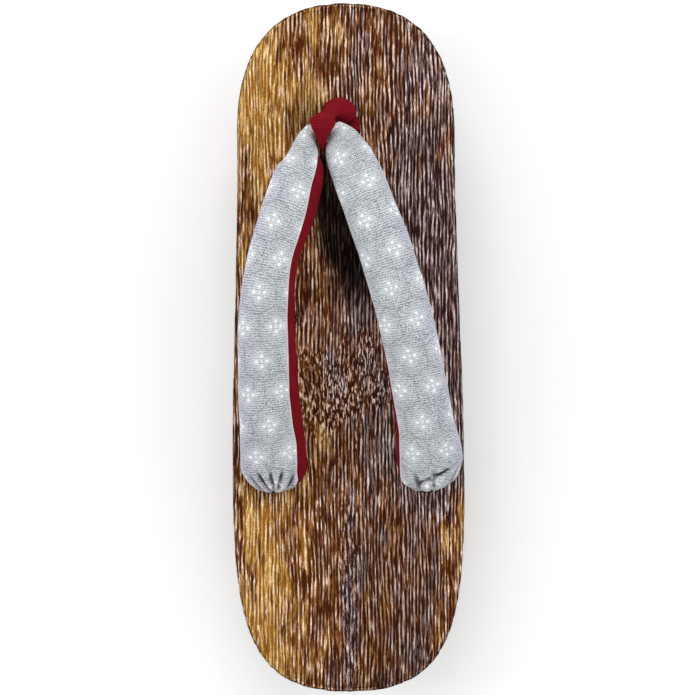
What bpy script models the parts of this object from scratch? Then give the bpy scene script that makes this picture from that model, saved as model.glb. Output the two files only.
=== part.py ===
"""A women's wooden geta for the right foot: a two-toothed base with a padded V strap.

The base is carved from one block. A side profile, with its teeth and the rising toe and heel, is
cut to the plan outline. Two padded arms rise from the rear holes and meet behind the front hole,
where a cloth loop holds them down. Metres, +Y to the toe, +X to the wearer's right, +Z up.
"""
import math

import bmesh
import bpy
from mathutils import Matrix, Vector

# Plan outline of the base, with stations measured back from the toe tip
BASE_LENGTH = 0.235
TOE_HALF_WIDTH = 0.03715
TOE_STATION = 0.0475
HEEL_HALF_WIDTH = 0.03958
HEEL_STATION = 0.1618
TOE_TIP_FULLNESS = 1.036
TOE_SIDE_FULLNESS = 0.229
HEEL_SIDE_FULLNESS = 0.702
HEEL_TIP_FULLNESS = 0.880
OUTLINE_STEPS = 11
RIM_ROUNDING = 0.0013

# Side profile of the base
BOARD_THICKNESS = 0.017
TOOTH_HEIGHT = 0.030
TOE_TIP_THICKNESS = 0.0095
HEEL_TIP_THICKNESS = 0.0120
FRONT_TOOTH_STATION = 0.0525
REAR_TOOTH_STATION = 0.1725
TOOTH_LENGTH = 0.0215
TOOTH_TAPER = 0.0012
TOOTH_ROOT_RADIUS = 0.006
TOOTH_EDGE_RADIUS = 0.0009

# Holes of the base, each with a round recess below for the knot
FRONT_HOLE_STATION = 0.0378
FRONT_HOLE_X = -0.0009
REAR_HOLE_STATION = 0.1623
REAR_HOLE_INSET = 0.01318
FRONT_HOLE_RADIUS = 0.0039
REAR_HOLE_RADIUS = 0.0046
HOLE_ROUNDING = 0.0006
RECESS_RADIUS = 0.0082
RECESS_DEPTH = 0.0055

# Strap
ARM_WIDTH = 0.0200
ARM_THICKNESS = 0.0108
STRAP_RISE = 0.031
STRAP_TIP_STATION = 0.0363
LINING_THICKNESS = 0.0013
OUTER_SEAM_DROP = 20.0
SQUARENESS = 2.25
CORE_CORD_RADIUS = 0.0025
WAIST_RADIUS = 0.0027
WAIST_RISE = 0.0188
WAIST_LENGTH = 0.0088
LOOP_WIDTH = 0.0052
LOOP_THICKNESS = 0.0036
KNOT_CORD_RADIUS = 0.0014
KNOT_SPAN = 0.0019

# Gap that touching pieces keep
GAP = 0.0003

# Places that follow from the sizes above
BOARD_TOP = TOOTH_HEIGHT + BOARD_THICKNESS
TOE_Y = BASE_LENGTH / 2
FRONT_HOLE_Y = TOE_Y - FRONT_HOLE_STATION
REAR_HOLE_Y = TOE_Y - REAR_HOLE_STATION
REAR_HOLE_SPREAD = HEEL_HALF_WIDTH - REAR_HOLE_INSET
STRAP_REACH = TOE_Y - STRAP_TIP_STATION - REAR_HOLE_Y
WAIST_X = -0.295 * REAR_HOLE_SPREAD
WAIST_Y = REAR_HOLE_Y + 0.943 * STRAP_REACH

# Sections of the arms from the rear hole to the front tip: across as a share of the rear holes'
# spread, along as a share of the strap's reach, rise as a share of its rise, width and thick as
# shares of the arm, roll outward in degrees, seam in degrees above the inner edge
ARM_COLUMNS = ("across", "along", "rise", "width", "thick", "roll", "seam")
LEFT_ARM = (
    (-1.000, 0.000, -0.020, 0.36, 0.66, 0, 20),
    (-0.958, 0.002, 0.075, 0.68, 0.84, 0, 34),
    (-0.938, 0.010, 0.165, 0.96, 0.97, 2, 44),
    (-0.950, 0.033, 0.250, 1.13, 1.02, 4, 48),
    (-0.958, 0.066, 0.335, 1.12, 1.03, 6, 48),
    (-0.970, 0.110, 0.432, 1.10, 1.02, 8, 48),
    (-0.990, 0.160, 0.535, 1.06, 1.00, 9, 50),
    (-1.012, 0.235, 0.672, 1.03, 1.00, 10, 51),
    (-1.028, 0.355, 0.840, 0.98, 1.00, 10, 48),
    (-1.022, 0.475, 0.955, 0.92, 1.00, 10, 45),
    (-0.932, 0.602, 1.000, 0.85, 1.00, 12, 49),
    (-0.750, 0.713, 0.955, 0.92, 0.98, 14, 58),
    (-0.625, 0.797, 0.850, 0.87, 0.92, 14, 62),
    (-0.562, 0.837, 0.780, 0.76, 0.86, 12, 58),
    (-0.538, 0.877, 0.705, 0.51, 0.78, 8, 36),
    (-0.510, 0.917, 0.635, 0.31, 0.64, 4, 0),
    (-0.468, 0.948, 0.590, 0.12, 0.40, 0, 0),
)
RIGHT_ARM = (
    (1.000, 0.000, -0.020, 0.36, 0.66, 0, 0),
    (1.012, 0.002, 0.075, 0.66, 0.84, 0, 8),
    (1.030, 0.010, 0.165, 0.95, 0.97, 2, 16),
    (1.044, 0.033, 0.250, 1.08, 1.02, 4, 22),
    (1.042, 0.062, 0.325, 1.12, 1.03, 6, 26),
    (1.018, 0.102, 0.415, 1.08, 1.02, 8, 27),
    (0.989, 0.144, 0.503, 1.00, 1.00, 9, 26),
    (0.924, 0.228, 0.662, 0.97, 1.00, 10, 24),
    (0.814, 0.355, 0.840, 0.94, 1.00, 10, 20),
    (0.682, 0.478, 0.957, 0.93, 1.00, 10, 10),
    (0.515, 0.601, 1.000, 0.90, 1.00, 10, -6),
    (0.322, 0.713, 0.955, 0.88, 0.98, 9, -20),
    (0.170, 0.800, 0.850, 0.85, 0.93, 7, -22),
    (0.092, 0.840, 0.780, 0.81, 0.88, 5, -22),
    (0.018, 0.876, 0.705, 0.76, 0.80, 4, -20),
    (-0.055, 0.917, 0.635, 0.56, 0.66, 2, -10),
    (-0.150, 0.950, 0.590, 0.26, 0.42, 0, 0),
)
DIVE_ROW = 4
STEPS_PER_ROW = 2.5
LINING_FIRST_STEP = 3
LINING_LAST_STEP = 34
LINING_POINTS = 9
COVER_POINTS = 13

# Toe loop's strands between the hole and the wrap: across and along as shares of a strand's width
# in the hole, rise as a share of the waist's, width and thick as shares of the loop
LEFT_STRAND = (
    (-0.80, 0.05, 0.12, 0.92, 1.20),
    (-0.62, 0.20, 0.28, 1.40, 1.70),
    (-0.42, 0.17, 0.57, 2.22, 2.50),
    (-1.35, -0.10, 0.84, 1.25, 0.80),
)
RIGHT_STRAND = (
    (0.07, -2.00, 0.52, 0.95, 1.05),
    (0.90, -1.45, 0.32, 1.00, 1.10),
    (0.96, -0.74, 0.16, 0.82, 1.00),
)
HOLE_STRAND_DEPTH = 1.4

# Its wrap round the waist: turn in degrees from the front over the top, lean to the right and
# reach as shares of the wrap's radius, width and thick as shares of the loop
LOOP_WRAP = (
    (44, 0.02, 1.00, 1.50, 0.82),
    (66, 0.00, 1.14, 1.74, 1.00),
    (92, -0.03, 1.15, 1.36, 1.00),
    (132, -0.05, 1.16, 0.66, 0.92),
    (176, -0.05, 1.26, 0.34, 0.85),
    (225, -0.06, 1.20, 0.44, 0.90),
    (268, 0.20, 1.20, 0.80, 0.95),
)
LOOP_RINGS = 46
LOOP_SIDES = 12
KNOT_STEPS = 48


def plan_outline():
    """The outline as Bezier knots, clockwise from the toe: place, handle before and handle after."""
    toe, heel = TOE_Y - TOE_STATION, TOE_Y - HEEL_STATION
    third = (toe - heel) / 3
    toe_side = TOE_SIDE_FULLNESS * TOE_STATION
    heel_side = HEEL_SIDE_FULLNESS * (BASE_LENGTH - HEEL_STATION)
    tip = TOE_TIP_FULLNESS * TOE_HALF_WIDTH
    tail = HEEL_TIP_FULLNESS * HEEL_HALF_WIDTH
    right = [
        ((TOE_HALF_WIDTH, toe), (TOE_HALF_WIDTH, toe + toe_side), (TOE_HALF_WIDTH, toe - third)),
        ((HEEL_HALF_WIDTH, heel), (HEEL_HALF_WIDTH, heel + third), (HEEL_HALF_WIDTH, heel - heel_side)),
    ]
    left = [tuple((-x, y) for x, y in (spot, after, before)) for spot, before, after in reversed(right)]
    toe_tip = ((0, TOE_Y), (-tip, TOE_Y), (tip, TOE_Y))
    heel_tip = ((0, -TOE_Y), (tail, -TOE_Y), (-tail, -TOE_Y))
    return [toe_tip] + right + [heel_tip] + left


def underside(y):
    """Height of the board's underside in front of the front tooth, between the teeth and behind."""
    front = TOE_Y - FRONT_TOOTH_STATION
    rear = TOE_Y - REAR_TOOTH_STATION - TOOTH_LENGTH
    if y > front:
        return TOOTH_HEIGHT + (BOARD_THICKNESS - TOE_TIP_THICKNESS) * (y - front) / (TOE_Y - front)
    if y < rear:
        return TOOTH_HEIGHT + (BOARD_THICKNESS - HEEL_TIP_THICKNESS) * (rear - y) / (rear + TOE_Y)
    return TOOTH_HEIGHT


def rounded(corners, steps=5):
    """A polygon's points, each corner (y, z, radius) replaced by an arc that touches its sides."""
    points = []
    for index, (y, z, radius) in enumerate(corners):
        here = Vector((y, z))
        if radius == 0:
            points.append(here)
            continue
        before = (Vector(corners[index - 1][:2]) - here).normalized()
        after = (Vector(corners[(index + 1) % len(corners)][:2]) - here).normalized()
        half = before.angle(after) / 2
        reach = radius / math.tan(half)
        centre = here + (before + after).normalized() * radius / math.sin(half)
        start, end = here + before * reach - centre, here + after * reach - centre
        for step in range(steps + 1):
            arm = start.slerp(end, step / steps)
            points.append(centre + arm.normalized() * radius)
    return points


def side_profile():
    """Corners of the block's side, round the bottom from the toe to the heel and back on top."""
    beyond = TOE_Y * 1.1
    corners = [(beyond, BOARD_TOP * 1.1, 0), (beyond, underside(beyond), 0)]
    for station in (FRONT_TOOTH_STATION, REAR_TOOTH_STATION):
        front = TOE_Y - station
        rear = front - TOOTH_LENGTH
        corners += [
            (front, TOOTH_HEIGHT, TOOTH_ROOT_RADIUS),
            (front - TOOTH_TAPER, 0, TOOTH_EDGE_RADIUS),
            (rear + TOOTH_TAPER, 0, TOOTH_EDGE_RADIUS),
            (rear, TOOTH_HEIGHT, TOOTH_ROOT_RADIUS),
        ]
    corners += [(-beyond, underside(-beyond), 0), (-beyond, BOARD_TOP * 1.1, 0)]
    return rounded(corners)


def material(name, colour, roughness, metallic=0.0):
    made = bpy.data.materials.new(name)
    made.use_nodes = True
    shader = made.node_tree.nodes["Principled BSDF"]
    shader.inputs["Base Color"].default_value = (*colour, 1.0)
    shader.inputs["Roughness"].default_value = roughness
    shader.inputs["Metallic"].default_value = metallic
    return made


def add_object(name, mesh, collection, finish=None):
    made = bpy.data.objects.new(name, mesh)
    collection.objects.link(made)
    if finish:
        mesh.materials.append(finish)
    return made


def hide_cutter(cutter):
    cutter.hide_render = True
    cutter.display_type = "WIRE"


def cut(target, cutter, operation="DIFFERENCE"):
    """Adds an exact Boolean with the cutter, which the model then leaves out."""
    hide_cutter(cutter)
    step = target.modifiers.new(cutter.name, "BOOLEAN")
    step.operation = operation
    step.object = cutter
    step.solver = "EXACT"


def mesh_of_curve(curve_object, name):
    """The curve's evaluated mesh, closed at its seams, in the curve's place."""
    bpy.context.view_layer.update()
    evaluated = curve_object.evaluated_get(bpy.context.evaluated_depsgraph_get())
    mesh = bpy.data.meshes.new_from_object(evaluated)
    mesh.name = name
    mesh.transform(curve_object.matrix_world)
    form = bmesh.new()
    form.from_mesh(mesh)
    bmesh.ops.remove_doubles(form, verts=form.verts, dist=0.00001)
    bmesh.ops.recalc_face_normals(form, faces=form.faces)
    form.to_mesh(mesh)
    form.free()
    bpy.data.objects.remove(curve_object)
    return mesh


def flat_curve(name, collection, extrude):
    data = bpy.data.curves.new(name, "CURVE")
    data.dimensions = "2D"
    data.fill_mode = "BOTH"
    data.extrude = extrude
    data.resolution_u = OUTLINE_STEPS
    data.render_resolution_u = 0
    return add_object(name, data, collection)


def make_block(collection, finish):
    """The whole block: the plan outline from the teeth's soles to the board's top, rims rounded."""
    outline = flat_curve("outline", collection, BOARD_TOP / 2)
    knots = plan_outline()
    spline = outline.data.splines.new("BEZIER")
    spline.bezier_points.add(len(knots) - 1)
    spline.use_cyclic_u = True
    for point, (spot, before, after) in zip(spline.bezier_points, knots):
        point.handle_left_type = point.handle_right_type = "FREE"
        point.co = (*spot, 0)
        point.handle_left = (*before, 0)
        point.handle_right = (*after, 0)
    outline.location.z = BOARD_TOP / 2
    block = add_object("wood_base", mesh_of_curve(outline, "wood_base"), collection, finish)
    rim = block.modifiers.new("rim", "BEVEL")
    rim.width = RIM_ROUNDING
    rim.segments = 3
    rim.limit_method = "ANGLE"
    rim.angle_limit = math.radians(60)
    return block


def make_side_cutter(collection):
    """The side profile, drawn in Y and Z and extruded across the block."""
    side = flat_curve("side_profile", collection, HEEL_HALF_WIDTH * 1.2)
    points = side_profile()
    spline = side.data.splines.new("POLY")
    spline.points.add(len(points) - 1)
    spline.use_cyclic_u = True
    for point, (y, z) in zip(spline.points, points):
        point.co = (y, z, 0, 1)
    side.rotation_euler = (math.pi / 2, 0, math.pi / 2)
    return add_object("side_cutter", mesh_of_curve(side, "side_cutter"), collection)


def make_hole_cutter(name, collection, x, y, radius):
    """A turned cutter: the hole with its rounded mouth, and the knot's recess below."""
    ceiling = underside(y) + RECESS_DEPTH
    beyond = RECESS_DEPTH
    profile = [(0, BOARD_TOP + beyond), (radius + HOLE_ROUNDING + beyond, BOARD_TOP + beyond)]
    profile += [(radius + HOLE_ROUNDING, BOARD_TOP), (radius, BOARD_TOP - HOLE_ROUNDING)]
    profile += [(radius, ceiling), (RECESS_RADIUS, ceiling)]
    profile += [(RECESS_RADIUS, TOOTH_HEIGHT - beyond), (0, TOOTH_HEIGHT - beyond)]
    mesh = bpy.data.meshes.new(name)
    mesh.from_pydata([(r, 0, z) for r, z in profile], [(i, i + 1) for i in range(len(profile) - 1)], [])
    cutter = add_object(name, mesh, collection)
    cutter.location = (x, y, 0)
    turn = cutter.modifiers.new("turn", "SCREW")
    turn.steps = turn.render_steps = 28
    turn.use_merge_vertices = True
    turn.merge_threshold = 0.00001
    return cutter


def make_base(parts, cutters, finish):
    block = make_block(parts, finish)
    cut(block, make_side_cutter(cutters), "INTERSECT")
    for name, x, y, radius in (
        ("front_hole", FRONT_HOLE_X, FRONT_HOLE_Y, FRONT_HOLE_RADIUS),
        ("rear_hole_left", -REAR_HOLE_SPREAD, REAR_HOLE_Y, REAR_HOLE_RADIUS),
        ("rear_hole_right", REAR_HOLE_SPREAD, REAR_HOLE_Y, REAR_HOLE_RADIUS),
    ):
        cut(block, make_hole_cutter(name, cutters, x, y, radius))


def smooth_row(rows, place):
    """The table read at a place between its rows, on a Catmull-Rom curve through them."""
    index = min(int(place), len(rows) - 2)
    share = place - index
    before = rows[max(index - 1, 0)]
    here, there = rows[index], rows[index + 1]
    after = rows[min(index + 2, len(rows) - 1)]
    blended = []
    for a, b, c, d in zip(before, here, there, after):
        bend = (2 * a - 5 * b + 4 * c - d) * share**2 + (3 * b - a - 3 * c + d) * share**3
        blended.append(b + ((c - a) * share + bend) / 2)
    return blended


def arm_frame(rows, place):
    """Centre, inward and upward directions, width, thickness and seam of an arm at a place."""

    def centre(at):
        row = dict(zip(ARM_COLUMNS, smooth_row(rows, at)))
        x = row["across"] * REAR_HOLE_SPREAD
        y = REAR_HOLE_Y + row["along"] * STRAP_REACH
        return Vector((x, y, BOARD_TOP + row["rise"] * STRAP_RISE)), row

    step = 0.08
    last = len(rows) - 1
    spot, row = centre(place)
    ahead = centre(min(place + step, last))[0] - centre(max(place - step, 0))[0]
    at = min(max(place, DIVE_ROW), last - step)
    course = centre(at + step)[0] - centre(at - step)[0]
    side = 1 if rows[0][0] > 0 else -1
    inward = Vector((-course.y, course.x, 0)).normalized() * side
    ahead = (ahead - inward * ahead.dot(inward)).normalized()
    upward = inward.cross(ahead) * -side
    turn = Matrix.Rotation(math.radians(row["roll"]) * -side, 3, ahead)
    width = row["width"] * ARM_WIDTH
    thick = row["thick"] * ARM_THICKNESS
    return spot, turn @ inward, turn @ upward, width, thick, row["seam"]


def skin_point(frame, angle, inset=0.0):
    """A point on the arm's skin, or below it, at an angle from the inner edge over the top."""
    spot, inward, upward, width, thick, _ = frame
    turn = math.radians(angle)
    level = 2 / SQUARENESS
    across = math.copysign(abs(math.cos(turn)) ** level, math.cos(turn)) * (width / 2 - inset)
    height = math.copysign(abs(math.sin(turn)) ** level, math.sin(turn)) * (thick / 2 - inset)
    return spot + inward * across + upward * height


def spread(start, end, count):
    return [start + (end - start) * i / (count - 1) for i in range(count)]


def lined_inset(frame):
    """How far the lining stands into the arm, less where the arm is thin."""
    return min(LINING_THICKNESS, 0.16 * frame[4])


def cover_ring(rows, step):
    """The padded body's section: its cloth cover above, and its bed for the lining below."""
    frame = arm_frame(rows, step / STEPS_PER_ROW)
    seam, outer = frame[5], 180 + OUTER_SEAM_DROP
    lined = LINING_FIRST_STEP - 1 < step < LINING_LAST_STEP + 1
    bed = (lined_inset(frame) + GAP) * lined
    clear = math.degrees(2 * GAP / frame[4])
    start, end = seam + clear, outer - clear
    ring = [skin_point(frame, angle) for angle in spread(start, end, COVER_POINTS)]
    return ring + [skin_point(frame, angle, bed) for angle in spread(end, 360 + start, LINING_POINTS)]


def lining_ring(rows, step):
    """The lining's section: a strip under the arm from the outer seam round to the inner one."""
    frame = arm_frame(rows, step / STEPS_PER_ROW)
    angles = spread(180 + OUTER_SEAM_DROP, 360 + frame[5], LINING_POINTS)
    under = [skin_point(frame, angle) for angle in angles]
    over = [skin_point(frame, angle, lined_inset(frame)) for angle in reversed(angles)]
    return under + over


def loft(name, rings):
    """A closed mesh over like rings of points, with a flat cap at each end."""
    form = bmesh.new()
    layers = [[form.verts.new(point) for point in ring] for ring in rings]
    for below, above in zip(layers, layers[1:]):
        for index in range(len(below)):
            after = (index + 1) % len(below)
            form.faces.new((below[index], below[after], above[after], above[index]))
    form.faces.new(layers[0][::-1])
    form.faces.new(layers[-1])
    bmesh.ops.recalc_face_normals(form, faces=form.faces)
    mesh = bpy.data.meshes.new(name)
    form.to_mesh(mesh)
    form.free()
    mesh.shade_smooth()
    mesh.set_sharp_from_angle(angle=math.radians(40))
    return mesh


def core_rings(rows):
    """Rings of the arm's gathered end, from the knot's recess up to the hole's mouth."""
    frame = arm_frame(rows, 0)
    x, y = math.copysign(REAR_HOLE_SPREAD, rows[0][0]), REAR_HOLE_Y
    heights = (TOOTH_HEIGHT + RECESS_DEPTH, BOARD_TOP - 0.4 * BOARD_THICKNESS)
    mouth = cover_ring(rows, 0)
    rings = []
    for height in heights:
        centre = Vector((x, y, height))
        ring = []
        for point in mouth:
            arm = point - frame[0]
            arm.z = 0
            ring.append(centre + arm.normalized() * CORE_CORD_RADIUS)
        rings.append(ring)
    return rings


def make_upper(parts, cutters, finish):
    """Both padded arms, joined where they meet by the narrow waist that the loop wraps."""
    arms = []
    for side, rows in (("left", LEFT_ARM), ("right", RIGHT_ARM)):
        rings = core_rings(rows)
        steps = round((len(rows) - 1) * STEPS_PER_ROW)
        rings += [cover_ring(rows, step) for step in range(steps + 1)]
        arms.append(loft("arm_" + side, rings))
    upper = add_object("strap_upper", arms[0], parts, finish)
    other = add_object("right_arm_form", arms[1], cutters)
    bpy.ops.mesh.primitive_cylinder_add(
        vertices=20, radius=WAIST_RADIUS, depth=WAIST_LENGTH,
        location=(WAIST_X, WAIST_Y, BOARD_TOP + WAIST_RISE), rotation=(0, math.pi / 2, 0),
    )
    waist = bpy.context.object
    waist.name = "waist_form"
    for collection in waist.users_collection:
        collection.objects.unlink(waist)
    cutters.objects.link(waist)
    cut(upper, waist, "UNION")
    cut(upper, other, "UNION")


def make_linings(parts, finish):
    for side, rows in (("left", LEFT_ARM), ("right", RIGHT_ARM)):
        steps = range(LINING_FIRST_STEP, LINING_LAST_STEP + 1)
        mesh = loft("strap_lining_" + side, [lining_ring(rows, step) for step in steps])
        add_object("strap_lining_" + side, mesh, parts, finish)


def loop_route():
    """Rows of the toe loop: place, width and thickness, from one strand's end to the other's."""
    wrap = WAIST_RADIUS + GAP + LOOP_THICKNESS / 2
    waist = Vector((WAIST_X, WAIST_Y, BOARD_TOP + WAIST_RISE))
    strand = FRONT_HOLE_RADIUS - 2 * GAP
    foot = underside(FRONT_HOLE_Y) + RECESS_DEPTH

    def in_hole(side, height):
        x = FRONT_HOLE_X + side * (strand + GAP) / 2
        return Vector((x, FRONT_HOLE_Y, height)), strand, HOLE_STRAND_DEPTH * strand

    def above_hole(across, along, rise, width, thick):
        x = FRONT_HOLE_X + across * strand
        place = Vector((x, FRONT_HOLE_Y + along * strand, BOARD_TOP + rise * WAIST_RISE))
        return place, width * LOOP_WIDTH, thick * LOOP_THICKNESS

    def round_waist(turn, lean, reach, width, thick):
        angle = math.radians(turn)
        arm = Vector((lean, math.cos(angle) * reach, math.sin(angle) * reach)) * wrap
        return waist + arm, width * LOOP_WIDTH, thick * LOOP_THICKNESS

    rows = [in_hole(-1, foot), in_hole(-1, BOARD_TOP)]
    rows += [above_hole(*row) for row in LEFT_STRAND]
    rows += [round_waist(*row) for row in LOOP_WRAP]
    rows += [above_hole(*row) for row in RIGHT_STRAND]
    return rows + [in_hole(1, BOARD_TOP), in_hole(1, foot)]


def make_toe_loop(parts, finish):
    """The cloth loop, one tube bent round the waist with both strands down the front hole."""
    rows = [(*spot, width, thick) for spot, width, thick in loop_route()]
    samples = [smooth_row(rows, place) for place in spread(0, len(rows) - 1, LOOP_RINGS)]
    rings = []
    across = Vector((1, 0, 0))
    for index, (x, y, z, width, thick) in enumerate(samples):
        before = Vector(samples[max(index - 1, 0)][:3])
        after = Vector(samples[min(index + 1, len(samples) - 1)][:3])
        ahead = (after - before).normalized()
        side = (across - ahead * across.dot(ahead)).normalized()
        out = ahead.cross(side)
        ring = []
        for turn in spread(0, 2 * math.pi, LOOP_SIDES + 1)[:-1]:
            arm = side * math.cos(turn) * width / 2 + out * math.sin(turn) * thick / 2
            ring.append(Vector((x, y, z)) + arm)
        rings.append(ring)
    add_object("toe_loop", loft("toe_loop", rings), parts, finish)


def make_knot(name, parts, finish, x, y):
    """An overhand knot of cord, a trefoil, drawn up into its recess."""
    top = underside(y) + RECESS_DEPTH - GAP
    data = bpy.data.curves.new(name, "CURVE")
    data.dimensions = "3D"
    data.bevel_depth = KNOT_CORD_RADIUS
    data.bevel_resolution = 1
    data.render_resolution_u = 0
    spline = data.splines.new("POLY")
    turns = spread(0, 2 * math.pi, KNOT_STEPS + 1)[:-1]
    spline.points.add(len(turns) - 1)
    spline.use_cyclic_u = True
    centre = top - KNOT_CORD_RADIUS - KNOT_SPAN
    for point, t in zip(spline.points, turns):
        across = KNOT_SPAN * (math.sin(t) + 2 * math.sin(2 * t))
        along = KNOT_SPAN * (math.cos(t) - 2 * math.cos(2 * t))
        point.co = (x + across, y + along, centre - KNOT_SPAN * math.sin(3 * t), 1)
    knot = add_object(name, data, parts)
    add_object(name, mesh_of_curve(knot, name), parts, finish)


def build():
    for old in list(bpy.data.objects):
        bpy.data.objects.remove(old, do_unlink=True)
    parts = bpy.data.collections.new("geta sandal")
    cutters = bpy.data.collections.new("cutters")
    for collection in (parts, cutters):
        bpy.context.scene.collection.children.link(collection)
    wood = material("scorched wood", (0.22, 0.12, 0.07), 0.42)
    cloth = material("pale woven cloth", (0.47, 0.51, 0.54), 0.85)
    crimson = material("crimson cloth", (0.19, 0.010, 0.016), 0.8)
    twine = material("twine", (0.10, 0.075, 0.05), 0.85)
    make_base(parts, cutters, wood)
    make_upper(parts, cutters, cloth)
    make_linings(parts, crimson)
    make_toe_loop(parts, crimson)
    make_knot("front_knot", parts, twine, FRONT_HOLE_X, FRONT_HOLE_Y)
    make_knot("rear_knot_left", parts, twine, -REAR_HOLE_SPREAD, REAR_HOLE_Y)
    make_knot("rear_knot_right", parts, twine, REAR_HOLE_SPREAD, REAR_HOLE_Y)


build()
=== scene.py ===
"""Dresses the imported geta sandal: brushed wood, padded cloth strap, ribbed toe loop, twine knots."""

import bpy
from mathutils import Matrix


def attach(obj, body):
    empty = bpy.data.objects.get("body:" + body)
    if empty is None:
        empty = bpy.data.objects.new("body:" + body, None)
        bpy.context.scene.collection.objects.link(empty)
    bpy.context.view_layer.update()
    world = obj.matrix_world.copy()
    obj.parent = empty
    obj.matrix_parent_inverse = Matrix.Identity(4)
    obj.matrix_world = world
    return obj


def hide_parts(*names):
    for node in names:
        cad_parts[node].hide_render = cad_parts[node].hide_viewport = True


bl_info = {
    "name": "Geta Sandal",
    "version": (1, 0, 0),
    "blender": (4, 5, 0),
    "location": "3D View > Sidebar > Geta",
    "description": "Brushed wooden base, padded patterned strap, linings, toe loop and twine knots",
    "category": "Object",
}

import math

import bmesh
import bpy
import numpy as np
from bpy.props import FloatProperty, FloatVectorProperty, IntProperty, PointerProperty
from mathutils import Matrix, Vector, noise

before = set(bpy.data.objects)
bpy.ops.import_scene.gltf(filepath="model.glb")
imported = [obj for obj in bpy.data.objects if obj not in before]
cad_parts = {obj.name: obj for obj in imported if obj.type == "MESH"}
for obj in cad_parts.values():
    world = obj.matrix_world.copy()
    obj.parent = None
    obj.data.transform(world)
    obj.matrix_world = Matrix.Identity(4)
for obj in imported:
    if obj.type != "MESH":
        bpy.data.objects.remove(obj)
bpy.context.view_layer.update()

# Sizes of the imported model, in metres, as its source gives them
BASE_LENGTH = 0.235
TOE_HALF_WIDTH = 0.03715
TOE_STATION = 0.0475
HEEL_HALF_WIDTH = 0.03958
HEEL_STATION = 0.1618
TOE_TIP_FULLNESS = 1.036
TOE_SIDE_FULLNESS = 0.229
HEEL_SIDE_FULLNESS = 0.702
HEEL_TIP_FULLNESS = 0.880
RIM_ROUNDING = 0.0013
BOARD_THICKNESS = 0.017
TOOTH_HEIGHT = 0.030
TOE_TIP_THICKNESS = 0.0095
HEEL_TIP_THICKNESS = 0.0120
TOOTH_STATIONS = (0.0525, 0.1725)
TOOTH_LENGTH = 0.0215
TOOTH_TAPER = 0.0012
TOOTH_ROOT_RADIUS = 0.006
TOOTH_EDGE_RADIUS = 0.0009
FRONT_HOLE_STATION = 0.0378
FRONT_HOLE_X = -0.0009
REAR_HOLE_STATION = 0.1623
REAR_HOLE_SPREAD = HEEL_HALF_WIDTH - 0.01318
FRONT_HOLE_RADIUS = 0.0039
REAR_HOLE_RADIUS = 0.0046
HOLE_ROUNDING = 0.0006
RECESS_RADIUS = 0.0082
RECESS_DEPTH = 0.0055
ARM_WIDTH = 0.0200
ARM_THICKNESS = 0.0108
STRAP_RISE = 0.031
STRAP_TIP_STATION = 0.0363
LINING_THICKNESS = 0.0013
OUTER_SEAM_DROP = 20.0
SQUARENESS = 2.25
CORE_CORD_RADIUS = 0.0025
WAIST_RADIUS = 0.0027
WAIST_RISE = 0.0188
WAIST_LENGTH = 0.0088
LOOP_WIDTH = 0.0052
LOOP_THICKNESS = 0.0036
KNOT_CORD_RADIUS = 0.0014
KNOT_SPAN = 0.0019
GAP = 0.0003

BOARD_TOP = TOOTH_HEIGHT + BOARD_THICKNESS
TOE_Y = BASE_LENGTH / 2
FRONT_HOLE_Y = TOE_Y - FRONT_HOLE_STATION
REAR_HOLE_Y = TOE_Y - REAR_HOLE_STATION
STRAP_REACH = TOE_Y - STRAP_TIP_STATION - REAR_HOLE_Y
WAIST = Vector((-0.295 * REAR_HOLE_SPREAD, REAR_HOLE_Y + 0.943 * STRAP_REACH, BOARD_TOP + WAIST_RISE))

# Sections of the arms from the rear hole to the front tip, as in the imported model
ARM_COLUMNS = ("across", "along", "rise", "width", "thick", "roll", "seam")
LEFT_ARM = (
    (-1.000, 0.000, -0.020, 0.36, 0.66, 0, 20),
    (-0.958, 0.002, 0.075, 0.68, 0.84, 0, 34),
    (-0.938, 0.010, 0.165, 0.96, 0.97, 2, 44),
    (-0.950, 0.033, 0.250, 1.13, 1.02, 4, 48),
    (-0.958, 0.066, 0.335, 1.12, 1.03, 6, 48),
    (-0.970, 0.110, 0.432, 1.10, 1.02, 8, 48),
    (-0.990, 0.160, 0.535, 1.06, 1.00, 9, 50),
    (-1.012, 0.235, 0.672, 1.03, 1.00, 10, 51),
    (-1.028, 0.355, 0.840, 0.98, 1.00, 10, 48),
    (-1.022, 0.475, 0.955, 0.92, 1.00, 10, 45),
    (-0.932, 0.602, 1.000, 0.85, 1.00, 12, 49),
    (-0.750, 0.713, 0.955, 0.92, 0.98, 14, 58),
    (-0.625, 0.797, 0.850, 0.87, 0.92, 14, 62),
    (-0.562, 0.837, 0.780, 0.76, 0.86, 12, 58),
    (-0.538, 0.877, 0.705, 0.51, 0.78, 8, 36),
    (-0.510, 0.917, 0.635, 0.31, 0.64, 4, 0),
    (-0.468, 0.948, 0.590, 0.12, 0.40, 0, 0),
)
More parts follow.
